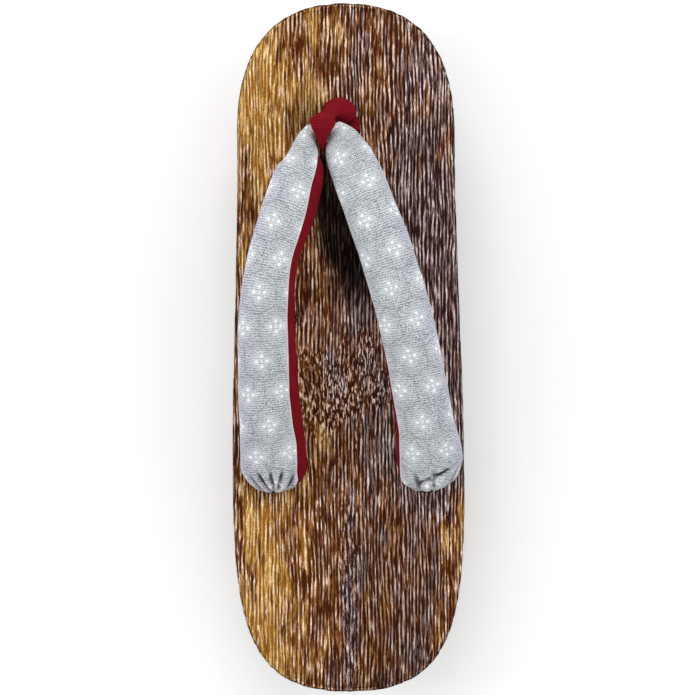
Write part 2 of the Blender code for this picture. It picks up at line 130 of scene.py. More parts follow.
RIGHT_ARM = (
    (1.000, 0.000, -0.020, 0.36, 0.66, 0, 0),
    (1.012, 0.002, 0.075, 0.66, 0.84, 0, 8),
    (1.030, 0.010, 0.165, 0.95, 0.97, 2, 16),
    (1.044, 0.033, 0.250, 1.08, 1.02, 4, 22),
    (1.042, 0.062, 0.325, 1.12, 1.03, 6, 26),
    (1.018, 0.102, 0.415, 1.08, 1.02, 8, 27),
    (0.989, 0.144, 0.503, 1.00, 1.00, 9, 26),
    (0.924, 0.228, 0.662, 0.97, 1.00, 10, 24),
    (0.814, 0.355, 0.840, 0.94, 1.00, 10, 20),
    (0.682, 0.478, 0.957, 0.93, 1.00, 10, 10),
    (0.515, 0.601, 1.000, 0.90, 1.00, 10, -6),
    (0.322, 0.713, 0.955, 0.88, 0.98, 9, -20),
    (0.170, 0.800, 0.850, 0.85, 0.93, 7, -22),
    (0.092, 0.840, 0.780, 0.81, 0.88, 5, -22),
    (0.018, 0.876, 0.705, 0.76, 0.80, 4, -20),
    (-0.055, 0.917, 0.635, 0.56, 0.66, 2, -10),
    (-0.150, 0.950, 0.590, 0.26, 0.42, 0, 0),
)
DIVE_ROW = 4
LINED_FROM, LINED_TO = 3 / 2.5, 34 / 2.5

# Toe loop's rows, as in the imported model
LEFT_STRAND = (
    (-0.80, 0.05, 0.12, 0.92, 1.20),
    (-0.62, 0.20, 0.28, 1.40, 1.70),
    (-0.42, 0.17, 0.57, 2.22, 2.50),
    (-1.35, -0.10, 0.84, 1.25, 0.80),
)
RIGHT_STRAND = (
    (0.07, -2.00, 0.52, 0.95, 1.05),
    (0.90, -1.45, 0.32, 1.00, 1.10),
    (0.96, -0.74, 0.16, 0.82, 1.00),
)
HOLE_STRAND_DEPTH = 1.4
LOOP_WRAP = (
    (44, 0.02, 1.00, 1.50, 0.82),
    (66, 0.00, 1.14, 1.74, 1.00),
    (92, -0.03, 1.15, 1.36, 1.00),
    (132, -0.05, 1.16, 0.66, 0.92),
    (176, -0.05, 1.26, 0.34, 0.85),
    (225, -0.06, 1.20, 0.44, 0.90),
    (268, 0.20, 1.20, 0.80, 0.95),
)

# Pleats gathered into the rear holes: angle on the skin from the inner edge over the top and
# half width in degrees, depth in metres, and how far they sweep outward in degrees a row
LEFT_PLEATS = ((100, 4.2, 0.0019, 11.5), (95, 3.6, 0.0019, 2), (90, 3.6, 0.0017, -5),
               (122, 6, 0.0008, 12), (70, 6, 0.0009, -9))
RIGHT_PLEATS = ((97, 6, 0.0014, 0), (74, 7, 0.0008, -6), (136, 7, 0.0008, 8))
# The tucked fold across the right end: angles and rows at its start and end, half width in
# rows, and depth
RIGHT_FOLD = (70, 130, 2.30, 3.50, 0.26, 0.0019)
PLEAT_MIDDLE = 2.3
PLEAT_REACH = 1.6
CREASE_DEPTH = 0.0016

# Tones of the scorched wood across the board, read one by one: place from the left edge to the
# right, then 0 for golden, 0.5 for brown and 1 for plum
TOE_TONES = ((0.00, 0.10), (0.13, 0.02), (0.24, 0.16), (0.38, 0.30), (0.52, 0.50), (0.66, 0.58),
             (0.80, 0.82), (0.93, 0.74), (1.00, 0.62))
WAIST_TONES = ((0.00, 0.40), (0.12, 0.40), (0.24, 0.36), (0.42, 0.44), (0.56, 0.72), (0.70, 0.80),
               (0.86, 1.00), (1.00, 0.92))
HEEL_TONES = ((0.00, 0.30), (0.08, 0.16), (0.18, 0.15), (0.30, 0.38), (0.44, 0.50), (0.50, 0.88),
              (0.58, 0.46), (0.70, 0.62), (0.84, 0.66), (0.92, 0.34), (1.00, 0.14))

# Golden, brown and plum wood between the ridges, and in the grooves
WOOD_BODY = ((0.66, 0.385, 0.112), (0.230, 0.084, 0.024), (0.190, 0.122, 0.114))
WOOD_GROOVE = ((0.30, 0.120, 0.016), (0.052, 0.0110, 0.0020), (0.026, 0.0090, 0.0080))
# Oval patches of short flecks and of painted shadow between the arms: middle, half width and half length
FLECKED_PATCH = ((-0.0050, -0.0130), (0.021, 0.0185))
SHADOW_PATCH = ((0.0078, 0.0440), (0.0120, 0.042))
SHADOW_LEAN = 0.24
# Painted shade in the cloth's creases, painted lilac shade warming the outer side, the selvedge, the
# dots, and where they lie
CREASE_SHADE = (0.034, 0.030, 0.040)
LILAC_SHADE = (0.96, 0.88, 1.02)
SELVEDGE_TONE = (0.66, 0.55, 0.58)
DOT_TONE = (0.93, 0.94, 0.96)
DOT_REACH = 0.00178
TWINE_TONE = (0.17, 0.125, 0.080)


def length_setting(name, description, default, precision=5):
    return FloatProperty(
        name=name, description=description, default=default, unit="LENGTH", precision=precision)


def colour_setting(name, description, default):
    return FloatVectorProperty(
        name=name, description=description, default=default, subtype="COLOR")


class GetaWood(bpy.types.PropertyGroup):
    grain_pitch: length_setting("Grain pitch", "Distance from one brushed ridge to the next", 0.00125)
    grain_relief: length_setting("Grain relief", "Depth of the brushed grooves", 0.00034)
    # The ridge colours are partly the ridges' own paler waxed wood and partly painted highlight
    golden: colour_setting("Golden ridges", "Colour of the least scorched ridges", (0.98, 0.76, 0.46))
    brown: colour_setting("Brown ridges", "Colour of the middle ridges", (0.92, 0.66, 0.50))
    plum: colour_setting("Plum ridges", "Colour of the most scorched ridges", (0.88, 0.73, 0.72))


class GetaStrap(bpy.types.PropertyGroup):
    rings: IntProperty(
        name="Rings", description="Rings along each padded arm", default=260)
    thread: length_setting("Thread pitch", "Distance between the cloth's crosswise threads", 0.00082)
    flower_pitch: length_setting("Flower pitch", "Distance between flowers across the cloth", 0.0116)
    flower_row: length_setting("Flower row", "Distance between the rows of flowers", 0.0113)
    pale: colour_setting("Pale cloth", "Ground colour of the strap's cloth", (0.462, 0.494, 0.520))
    crimson: colour_setting(
        "Crimson cloth", "Colour of the linings and the toe loop", (0.175, 0.0050, 0.0105))
    rib: length_setting("Rib pitch", "Distance between the crimson cloth's ribs", 0.00065)


class GetaStage(bpy.types.PropertyGroup):
    camera_distance: FloatProperty(
        name="Camera distance", description="Height of the camera above the board's top",
        default=2.6, unit="LENGTH")
    picture_width: length_setting(
        "Picture width", "Width of the board's plane that the picture takes in", 0.2369, 4)
    camera_roll: FloatProperty(
        name="Camera roll", description="Turn of the camera about its own axis",
        default=math.radians(-0.46), unit="ROTATION")
    brightness: FloatProperty(
        name="Brightness", description="Share of the studio light", default=1.0)


def add_node(tree, kind, values=(), **settings):
    """Adds a node, sets its options, and fills its inputs in order with sockets or plain values."""
    made = tree.nodes.new(kind)
    for name, value in settings.items():
        setattr(made, name, value)
    for socket, value in zip(made.inputs, values):
        if isinstance(value, bpy.types.NodeSocket):
            tree.links.new(value, socket)
        elif value is not None:
            socket.default_value = value
    return made


def tree_of(*values):
    """The node tree of the first socket among the values."""
    return next(value.id_data for value in values if isinstance(value, bpy.types.NodeSocket))


def sums(operation, *values, clamp=False):
    made = add_node(tree_of(*values), "ShaderNodeMath", values, operation=operation, use_clamp=clamp)
    return made.outputs[0]


def times(*values):
    return sums("MULTIPLY", *values)


def plus(*values, clamp=False):
    return sums("ADD", *values, clamp=clamp)


def minus(*values):
    return sums("SUBTRACT", *values)


def split(vector):
    return add_node(tree_of(vector), "ShaderNodeSeparateXYZ", [vector]).outputs


def join(*parts):
    return add_node(tree_of(*parts), "ShaderNodeCombineXYZ", parts).outputs[0]


def stored(tree, name, kind="Vector"):
    return add_node(tree, "ShaderNodeAttribute", attribute_name=name).outputs[kind]


def steps(value, start, end, low=0.0, high=1.0):
    """Rises smoothly from low to high as the value goes from start to end."""
    values = [value, start, end, low, high]
    made = add_node(tree_of(value), "ShaderNodeMapRange", values, interpolation_type="SMOOTHSTEP")
    return made.outputs[0]


def blend_colour(share, first, second, kind="MIX"):
    tree = tree_of(share, first, second)
    mix = add_node(tree, "ShaderNodeMix", data_type="RGBA", blend_type=kind)
    for index, value in ((0, share), (6, first), (7, second)):
        if isinstance(value, bpy.types.NodeSocket):
            tree.links.new(value, mix.inputs[index])
        elif index:
            mix.inputs[index].default_value = (*value[:3], 1.0)
        else:
            mix.inputs[index].default_value = value
    return mix.outputs[2]


def shaded(colour, light):
    """The colour made lighter or darker by a factor."""
    return blend_colour(1.0, colour, join(light, light, light), "MULTIPLY")


def speckle(spot, across, along, detail=1.0, rough=0.5):
    """Noise with cells of the given width and length in metres, around 0.5."""
    tree = tree_of(spot)
    cell = add_node(tree, "ShaderNodeVectorMath", [spot, (across, along, across)], operation="DIVIDE")
    return add_node(tree, "ShaderNodeTexNoise", [cell.outputs[0], None, 1.0, detail, rough]).outputs[0]


def stray(amount, *cells):
    """Noise around zero, times an amount."""
    return times(minus(speckle(*cells), 0.5), amount)


def shifted(spot, amounts):
    values = [spot, amounts]
    return add_node(tree_of(spot), "ShaderNodeVectorMath", values, operation="ADD").outputs[0]


def length_of(vector):
    return add_node(tree_of(vector), "ShaderNodeVectorMath", [vector], operation="LENGTH").outputs[1]


def patch_reach(spot, middle, sizes):
    """Distance from the middle of an oval patch, which is 1 at its rim."""
    values = [shifted(spot, (-middle[0], -middle[1], 0)), (*sizes, 1)]
    away = add_node(tree_of(spot), "ShaderNodeVectorMath", values, operation="DIVIDE")
    return length_of(away.outputs[0])


def grain_height(spot, pitch):
    """Height of the brushed grain at a place in metres, 0 in a groove and 1 on a ridge, and the
    share of short flecks in it."""
    parts = split(spot)
    sway = plus(stray(0.0040, spot, 0.012, 0.055), stray(0.0007, spot, 0.0032, 0.017))
    swayed = shifted(spot, join(sway))
    x = plus(parts[0], sway)
    lines = sums("SINE", times(x, math.tau / pitch))
    long_streaks = speckle(swayed, pitch * 0.46, 0.0070, 1.5, 0.5)
    flecks = speckle(shifted(swayed, (0.3, 0.1, 0)), pitch * 0.35, 0.0019, 1.5, 0.5)
    fine = stray(0.60, shifted(swayed, (0.5, 0.2, 0)), 0.00042, 0.0034, 1.0, 0.5)
    middle = plus(patch_reach(spot, *FLECKED_PATCH), stray(2.0, spot, 0.010, 0.016))
    share = steps(middle, 0.45, 1.25, 0.92, 0.06)
    # A narrow band of flecks runs down the middle of the heel
    band = steps(sums("ABSOLUTE", plus(x, 0.0002)), 0.0042, 0.0018)
    band = times(band, steps(parts[1], -0.044, -0.056, 0.0, 0.5))
    share = sums("MAXIMUM", share, band)
    values = [share, None, long_streaks, flecks]
    broken = add_node(tree_of(share), "ShaderNodeMix", values, data_type="FLOAT")
    swing = steps(share, 0.0, 1.0, 1.35, 2.10)
    broken = times(minus(broken.outputs[0], 0.5), swing)
    lines = times(lines, steps(share, 0.0, 1.0, 0.155, 0.05))
    height = plus(plus(broken, lines), fine)
    return steps(height, -0.13, 0.27), share


def make_material(name):
    made = bpy.data.materials.new(name)
    made.use_nodes = True
    return made, made.node_tree, made.node_tree.nodes["Principled BSDF"]


def set_finish(tree, shader, colour, roughness, height=None, depth=0.0, **constants):
    """Links colour, roughness and bump to the shader, and sets its other sockets directly."""
    tree.links.new(colour, shader.inputs["Base Color"])
    if isinstance(roughness, bpy.types.NodeSocket):
        tree.links.new(roughness, shader.inputs["Roughness"])
    else:
        shader.inputs["Roughness"].default_value = roughness
    if height is not None:
        bump = add_node(tree, "ShaderNodeBump")
        bump.inputs["Strength"].default_value = 1.0
        bump.inputs["Distance"].default_value = depth
        tree.links.new(height, bump.inputs["Height"])
        tree.links.new(bump.outputs[0], shader.inputs["Normal"])
    for socket, value in constants.items():
        shader.inputs[socket.replace("_", " ")].default_value = value


def tone_ramp(across, table):
    ramp = add_node(tree_of(across), "ShaderNodeValToRGB", [across])
    points = ramp.color_ramp.elements
    for number, (place, tone) in enumerate(table):
        if number == 0:
            point = points[0]
        elif number == len(table) - 1:
            point = points[-1]
        else:
            point = points.new(place)
        point.color = (tone, tone, tone, 1)
    return ramp.outputs[0]


def scorched_wood(settings):
    """Brushed and waxed wood: pale ridges over dark grooves, golden, brown and plum by region; the
    ridges' paleness is partly the waxed wood's own and partly painted highlight.
    """
    made, tree, shader = make_material("scorched_wood")
    spot = stored(tree, "grain_spot")
    height, flecked = grain_height(spot, settings.grain_pitch)
    x, y, z = split(spot)
    wavering = minus(speckle(spot, 0.008, 0.022, 3.0, 0.6), 0.5)
    across = plus(x, times(wavering, 0.016))
    place = plus(sums("DIVIDE", across, 2 * HEEL_HALF_WIDTH), 0.5, clamp=True)
    down = plus(y, times(wavering, 0.05))
    toe, waist, heel = (tone_ramp(place, table) for table in (TOE_TONES, WAIST_TONES, HEEL_TONES))
    tone = blend_colour(steps(down, 0.040, 0.068), waist, toe)
    tone = blend_colour(steps(down, -0.040, -0.062), tone, heel)
    aside = shifted(spot, (0.7, 0, 0))
    tone = plus(tone, stray(1.1, aside, 0.0045, 0.017, 2.0, 0.6))
    tone = plus(tone, stray(0.7, aside, 0.0011, 0.010, 1.0, 0.5), clamp=True)

    def three_tones(golden, brown, plum):
        warm = blend_colour(steps(tone, 0.02, 0.42), golden, brown)
        return blend_colour(steps(tone, 0.45, 0.90), warm, plum)

    # The ridges' painted highlight shows in short dashes and is weaker in patches, and the ridges right
    # of the heel's middle are duller
    glint = speckle(shifted(spot, (0, 0.4, 0)), 0.0007, 0.0036, 2.0)
    glint = sums("MAXIMUM", steps(glint, 0.40, 0.60, 0.30, 1.0), flecked)
    dimmed = speckle(shifted(spot, (0, 0, 0.6)), 0.0042, 0.015, 1.0)
    dimmed = steps(dimmed, 0.56, 0.66, 1.0, 0.35)
    dull = times(steps(place, 0.42, 0.54), steps(place, 0.92, 0.82))
    dull = times(dull, steps(down, -0.045, -0.065, 0.0, 0.24))
    calm = minus(1.0, dull)
    glint = times(times(glint, dimmed), calm)
    low = steps(height, 0.02, 0.34)
    colour = blend_colour(low, three_tones(*WOOD_GROOVE), three_tones(*WOOD_BODY))
    # Pale ridge colour, partly painted highlight, is blended in where the grain is high
    ridge = three_tones(settings.golden, settings.brown, settings.plum)
    colour = blend_colour(times(steps(height, 0.60, 0.98), glint), colour, ridge)
    grit = steps(speckle(spot, 0.00035, 0.0006, 2.0, 0.7), 0.35, 0.65, 0.72, 1.18)
    # The rounded rim and the side walls are painted darker, as painted shade at the board's edge
    side = steps(z, BOARD_TOP - 0.0008, BOARD_TOP - 0.0001, 0.26, 1.0)
    # Painted shadow between the arms near the front: darkest in an oval patch that leans with the arms,
    # none below the board's top, and the coat is thinner in it too
    lean = plus(x, times(y, SHADOW_LEAN))
    painted_shadow = patch_reach(join(lean, y), *SHADOW_PATCH)
    painted_shadow = steps(plus(painted_shadow, times(wavering, 0.8)), 0.45, 1.10, 0.05, 1.0)
    below = steps(z, BOARD_TOP - 0.0010, BOARD_TOP - 0.0030)
    painted_shadow = sums("MAXIMUM", painted_shadow, below)
    colour = shaded(colour, times(times(grit, side), times(painted_shadow, calm)))
    rough = steps(height, 0.1, 0.9, 0.90, 0.36)
    set_finish(tree, shader, colour, rough, height, 0.00020, Coat_Roughness=0.24, Specular_IOR_Level=0.06)
    coat = times(steps(height, 0.45, 0.95, 0.0, 0.40), painted_shadow)
    tree.links.new(coat, shader.inputs["Coat Weight"])
    return made


def flower_share(across, along, pitch, row):
    """Whiteness of the dotted flowers and darkness of the hexagons round them."""
    dots = rims = None
    for shift in (0.0, 1.0):
        x = sums("WRAP", plus(across, shift * pitch / 2), pitch / 2, -pitch / 2)
        y = sums("WRAP", plus(along, shift * row), row, -row)
        x, y = sums("ABSOLUTE", x), sums("ABSOLUTE", y)
        dot = plus(length_of(join(x, y)), 0.00018)
        for right, up in ((DOT_REACH, 0), (0, DOT_REACH)):
            petal = join(minus(x, right), minus(y, up))
            dot = sums("MINIMUM", dot, length_of(petal))
        whole = (pitch**2 / 4 + row**2) / 2
        slant = plus(times(x, pitch / 2 / whole), times(y, row / whole))
        rim = sums("MAXIMUM", sums("DIVIDE", x, pitch / 2), slant)
        dots = dot if dots is None else sums("MINIMUM", dots, dot)
        rims = rim if rims is None else sums("MINIMUM", rims, rim)
    glow = steps(dots, 0.0030, 0.0004, 0.0, 0.30)
    white = sums("MAXIMUM", steps(dots, 0.00074, 0.00034), glow)
    return white, steps(rims, 0.90, 0.98)


def pale_cloth(settings, name, outer, turn, slide_across, slide_along, stretch):
    """Matt woven cloth, flecked, with white dotted flowers in faint hexagons, painted shade in the
    creases and painted lilac shade on the outer side.
    """
    made, tree, shader = make_material(name)
    weave = stored(tree, "weave")
    turned = add_node(tree, "ShaderNodeVectorRotate", [weave, (0, 0, 0), (0, 0, 1), turn]).outputs[0]
    flower_x, flower_y, _ = split(shifted(turned, (slide_across, slide_along, 0)))
    across, along, from_edge = split(weave)
    row = settings.flower_row * stretch
    white, rim = flower_share(flower_x, flower_y, settings.flower_pitch, row)
    bent = plus(along, stray(0.0009, weave, 0.004, 0.002))
    weft = sums("SINE", times(bent, math.tau / settings.thread))
    warp = sums("SINE", times(across, math.tau / (settings.thread * 0.72)))
    thread = plus(times(weft, 0.085), times(warp, 0.03))
    fleck = plus(speckle(weave, 0.00046, 0.00037, 1.5, 0.6), thread)
    light = steps(fleck, 0.35, 0.60, 0.40, 1.28)
    cloud = steps(speckle(weave, 0.006, 0.009, 2.0), 0.35, 0.65, 0.95, 1.05)
    light = times(light, cloud)
    light = times(light, minus(1.0, times(rim, 0.17)))
    ground = shaded(settings.pale, light)
    # Painted shade: the cloth is darkened towards a dark tone where the creases are deep
    dimmed = steps(stored(tree, "crease", "Fac"), 0.05, 0.58)
    ground = blend_colour(dimmed, ground, CREASE_SHADE)
    # Painted lilac shade on the arm's outer side
    tint = times(steps(times(across, outer), 0.0040, 0.0105), 0.55)
    ground = blend_colour(tint, ground, LILAC_SHADE, "MULTIPLY")
    edge = times(steps(from_edge, 0.0011, 0.0005), 0.75)
    ground = blend_colour(edge, ground, SELVEDGE_TONE)
    colour = blend_colour(times(white, 0.92), ground, DOT_TONE)
    height = plus(fleck, times(white, 0.30))
    set_finish(tree, shader, colour, 0.86, height, 0.00018, Sheen_Weight=0.12, Sheen_Roughness=0.6,
               Specular_IOR_Level=0.25)
    return made


def crimson_cloth(settings):
    """Matt cloth with fine crosswise ribs."""
    made, tree, shader = make_material("ribbed_crimson")
    weave = stored(tree, "weave")
    bent = plus(split(weave)[1], stray(0.0006, weave, 0.004, 0.003))
    rib = sums("SINE", times(bent, math.tau / settings.rib))
    height = plus(times(rib, 0.30), speckle(weave, 0.00030, 0.00022, 2.0, 0.6))
    cloud = steps(speckle(weave, 0.004, 0.006, 2.0), 0.3, 0.7, 0.90, 1.10)
    light = times(steps(height, 0.1, 0.9, 0.66, 1.30), cloud)
    colour = shaded(settings.crimson, light)
    set_finish(tree, shader, colour, 0.82, height, 0.00016, Specular_IOR_Level=0.05, Sheen_Weight=0.03,
               Sheen_Tint=(0.6, 0.05, 0.08, 1.0))
    return made


def twine_finish():
    """Dull hemp twine, its hollows between the plies painted darker, as painted shade."""
    made, tree, shader = make_material("twine")
    weave = stored(tree, "weave")
    fuzz = speckle(weave, 0.00016, 0.0012, 3.0, 0.6)
    ply = steps(split(weave)[2], 0.0, 1.0, 0.55, 1.1)
    colour = shaded(TWINE_TONE, times(steps(fuzz, 0.3, 0.7, 0.7, 1.25), ply))
    set_finish(tree, shader, colour, 0.9, fuzz, 0.00012, Sheen_Weight=0.15)
    return made


def finish_mesh(name, form):
    """Turns the built form into a mesh and frees it."""
    mesh = bpy.data.meshes.new(name)
    form.to_mesh(mesh)
    form.free()
    return mesh


def place_object(name, data):
    placed = bpy.data.objects.new(name, data)
    bpy.context.scene.collection.objects.link(placed)
    return placed


def add_piece(name, mesh, finish, slot, *nodes):
    """Adds a piece that rides on the sandal with its finish, and hides the nodes that it stands for; its
    slot is not used.
    """
    piece = place_object(name, mesh)
    mesh.materials.clear()
    mesh.materials.append(finish)
    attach(piece, "root")
    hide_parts(*nodes)
    return piece


def spread(start, end, count):
    return [start + (end - start) * i / (count - 1) for i in range(count)]


def smooth_row(rows, place):
    """The table read at a place between its rows, on a Catmull-Rom curve through them."""
    index = min(int(place), len(rows) - 2)
    share = place - index
    before = rows[max(index - 1, 0)]
    here, there = rows[index], rows[index + 1]
    after = rows[min(index + 2, len(rows) - 1)]
    blended = []
    for a, b, c, d in zip(before, here, there, after):
        bend = (2 * a - 5 * b + 4 * c - d) * share**2 + (3 * b - a - 3 * c + d) * share**3
        blended.append(b + ((c - a) * share + bend) / 2)
    return blended


def arm_frame(rows, place):
    """Centre, inward and upward directions, width, thickness and seam of an arm at a place."""

    def centre(at):
        row = dict(zip(ARM_COLUMNS, smooth_row(rows, at)))
        x = row["across"] * REAR_HOLE_SPREAD
        y = REAR_HOLE_Y + row["along"] * STRAP_REACH
        return Vector((x, y, BOARD_TOP + row["rise"] * STRAP_RISE)), row

    step = 0.08
    last = len(rows) - 1
    spot, row = centre(place)
    ahead = centre(min(place + step, last))[0] - centre(max(place - step, 0))[0]
    at = min(max(place, DIVE_ROW), last - step)
    course = centre(at + step)[0] - centre(at - step)[0]
    side = 1 if rows[0][0] > 0 else -1
    inward = Vector((-course.y, course.x, 0)).normalized() * side
    ahead = (ahead - inward * ahead.dot(inward)).normalized()
    upward = inward.cross(ahead) * -side
    turn = Matrix.Rotation(math.radians(row["roll"]) * -side, 3, ahead)
    width = row["width"] * ARM_WIDTH
    thick = row["thick"] * ARM_THICKNESS
    return spot, turn @ inward, turn @ upward, width, thick, row["seam"]


def skin_point(section, angle, inset=0.0):
    """A point on the arm's skin, or below it, at an angle from the inner edge over the top."""
    spot, inward, upward, width, thick, _ = section
    turn = math.radians(angle)
    level = 2 / SQUARENESS
    across = math.copysign(abs(math.cos(turn)) ** level, math.cos(turn)) * (width / 2 - inset)
    height = math.copysign(abs(math.sin(turn)) ** level, math.sin(turn)) * (thick / 2 - inset)
    return spot + inward * across + upward * height


def lined_inset(section):
    return min(LINING_THICKNESS, 0.16 * section[4])


def loft(name, rings, weave=None, closed=False):
    """A mesh over like rings of points, capped at both ends or joined round, with its cloth places."""
    form = bmesh.new()
    layer = form.verts.layers.float_vector.new("weave") if weave else None
    layers = []
    for number, ring in enumerate(rings):
        made = [form.verts.new(point) for point in ring]
        if weave:
            for vertex, value in zip(made, weave[number]):
                vertex[layer] = value
        layers.append(made)
    for below, above in zip(layers, layers[1:] + layers[:1] if closed else layers[1:]):
        for index in range(len(below)):
            after = (index + 1) % len(below)
            form.faces.new((below[index], below[after], above[after], above[index]))
    if not closed:
        form.faces.new(layers[0][::-1])
        form.faces.new(layers[-1])
    bmesh.ops.recalc_face_normals(form, faces=form.faces)
    mesh = finish_mesh(name, form)
    mesh.shade_smooth()
    mesh.set_sharp_from_angle(angle=math.radians(50))
    return mesh


def outline_half(samples=300):
    """The right half of the outline from the toe's tip to the heel's, with outward directions."""
    toe, heel = TOE_Y - TOE_STATION, TOE_Y - HEEL_STATION
    third = (toe - heel) / 3
    toe_side = TOE_SIDE_FULLNESS * TOE_STATION
    heel_side = HEEL_SIDE_FULLNESS * (BASE_LENGTH - HEEL_STATION)
    tip = TOE_TIP_FULLNESS * TOE_HALF_WIDTH
    tail = HEEL_TIP_FULLNESS * HEEL_HALF_WIDTH
    spans = (
        ((0, TOE_Y), (tip, TOE_Y), (TOE_HALF_WIDTH, toe + toe_side), (TOE_HALF_WIDTH, toe)),
        ((TOE_HALF_WIDTH, toe), (TOE_HALF_WIDTH, toe - third), (HEEL_HALF_WIDTH, heel + third),
         (HEEL_HALF_WIDTH, heel)),
        ((HEEL_HALF_WIDTH, heel), (HEEL_HALF_WIDTH, heel - heel_side), (tail, -TOE_Y), (0, -TOE_Y)),
    )
    t = np.linspace(0, 1, samples)[:, None]
    points = []
    for a, b, c, d in spans:
        a, b, c, d = (np.array(knot) for knot in (a, b, c, d))
        points.append(a * (1 - t) ** 3 + 3 * b * t * (1 - t) ** 2 + 3 * c * t**2 * (1 - t) + d * t**3)
    points = np.concatenate([points[0], points[1][1:], points[2][1:]])
    course = np.gradient(points, axis=0)
    course[0] = (1, 0)
    course[-1] = (-1, 0)
    course /= np.linalg.norm(course, axis=1)[:, None]
    return points, np.stack([-course[:, 1], course[:, 0]], axis=1)


def underside_profile():
    """Stations and heights of the block's underside from the toe to the heel."""
    corners = [(TOE_Y, BOARD_TOP - TOE_TIP_THICKNESS, 0)]
    for station in TOOTH_STATIONS:
        start = TOE_Y - station
        end = start - TOOTH_LENGTH
        corners += [
            (start, TOOTH_HEIGHT, TOOTH_ROOT_RADIUS), (start - TOOTH_TAPER, 0, TOOTH_EDGE_RADIUS),
            (end + TOOTH_TAPER, 0, TOOTH_EDGE_RADIUS), (end, TOOTH_HEIGHT, TOOTH_ROOT_RADIUS),
        ]
    corners.append((-TOE_Y, BOARD_TOP - HEEL_TIP_THICKNESS, 0))
    points = []
    for index, (y, z, radius) in enumerate(corners):
        here = Vector((y, z))
        if radius == 0:
            points.append(here)
            continue
        before = (Vector(corners[index - 1][:2]) - here).normalized()
        after = (Vector(corners[index + 1][:2]) - here).normalized()
        half = before.angle(after) / 2
        centre = here + (before + after).normalized() * radius / math.sin(half)
        start, end = (here + arm * radius / math.tan(half) - centre for arm in (before, after))
        for step in range(7):
            points.append(centre + start.slerp(end, step / 6).normalized() * radius)
    return np.array([(-p[0], p[1]) for p in points])


def base_mesh(columns=270, levels=26, bottom_columns=14):
    """The block as rows of columns: top, rounded rim, side wall and underside, without its holes."""
    points, outward = outline_half()
    reach = np.concatenate([[0], np.cumsum(np.linalg.norm(np.diff(points, axis=0), axis=1))])
    even = np.linspace(0, reach[-1], 236)[1:-1]
    stations = -np.interp(even, reach, points[:, 1])
    profile = underside_profile()
    stations = np.unique(np.round(np.concatenate([stations, profile[1:-1, 0]]), 6))
    keep = np.concatenate([[True], np.diff(stations) > 0.00004])
    stations = stations[keep]
    rows = []
    for station in stations:
        at = np.interp(station, -points[:, 1], reach)
        x = np.interp(at, reach, points[:, 0])
        nx = np.interp(at, reach, outward[:, 0])
        ny = np.interp(at, reach, outward[:, 1])
        low = np.interp(station, profile[:, 0], profile[:, 1])
        rows.append((x, -station, nx, ny, low))
    vertices, faces = [], []

    def add(x, y, z):
        vertices.append((x, y, z))
        return len(vertices) - 1

    bends = [math.radians(a) for a in (0, 22, 45, 68, 90)]
    top, low, walls = [], [], {1: [], -1: []}
    for x, y, nx, ny, floor in rows:
        inner_x, inner_y = x - nx * RIM_ROUNDING, y - ny * RIM_ROUNDING
        top.append([add(s * inner_x, inner_y, BOARD_TOP) for s in np.linspace(-1, 1, columns)])
        low.append([add(s * x, y, floor) for s in np.linspace(-1, 1, bottom_columns)])
        for side in (1, -1):
            wall = [top[-1][-1 if side > 0 else 0]]
            for bend in bends[1:]:
                out, drop = RIM_ROUNDING * math.sin(bend), RIM_ROUNDING * (1 - math.cos(bend))
                wall.append(add(side * (inner_x + nx * out), inner_y + ny * out, BOARD_TOP - drop))
            start = BOARD_TOP - RIM_ROUNDING
            for share in np.linspace(0, 1, levels)[1:-1]:
                wall.append(add(side * x, y, start + (floor - start) * share))
            wall.append(low[-1][-1 if side > 0 else 0])
            walls[side].append(wall)
    for strips, flip in ((top, False), (low, True), (walls[1], False), (walls[-1], True)):
        for ahead, behind in zip(strips, strips[1:]):
            for i in range(len(ahead) - 1):
                face = (ahead[i], behind[i], behind[i + 1], ahead[i + 1])
                faces.append(face[::-1] if flip else face)
    # Each tip is a short strip across, between the two side walls
    for end in (0, -1):
        x, y, nx, ny, floor = rows[end]
        tip_y = math.copysign(TOE_Y, y)
        right, left = walls[1][end], walls[-1][end]
        before = None
        for i, (a, b) in enumerate(zip(right, left)):
            z = vertices[a][2]
            if i == 0:
                middle = add(0, tip_y - math.copysign(RIM_ROUNDING, y), z)
            elif i < len(bends):
                out = RIM_ROUNDING * (1 - math.sin(bends[i]))
                middle = add(0, tip_y - math.copysign(out, y), z)
            else:
                middle = add(0, tip_y, z)
            if before is not None:
                faces.append((before, middle, a, right[i - 1]))
                faces.append((before, left[i - 1], b, middle))
            else:
                faces.append([middle] + top[end])
            before = middle
        faces.append([before] + low[end])
    form = bmesh.new()
    made = [form.verts.new(v) for v in vertices]
    for face in faces:
        form.faces.new([made[i] for i in face])
    bmesh.ops.recalc_face_normals(form, faces=form.faces)
    return finish_mesh("carved_base", form)


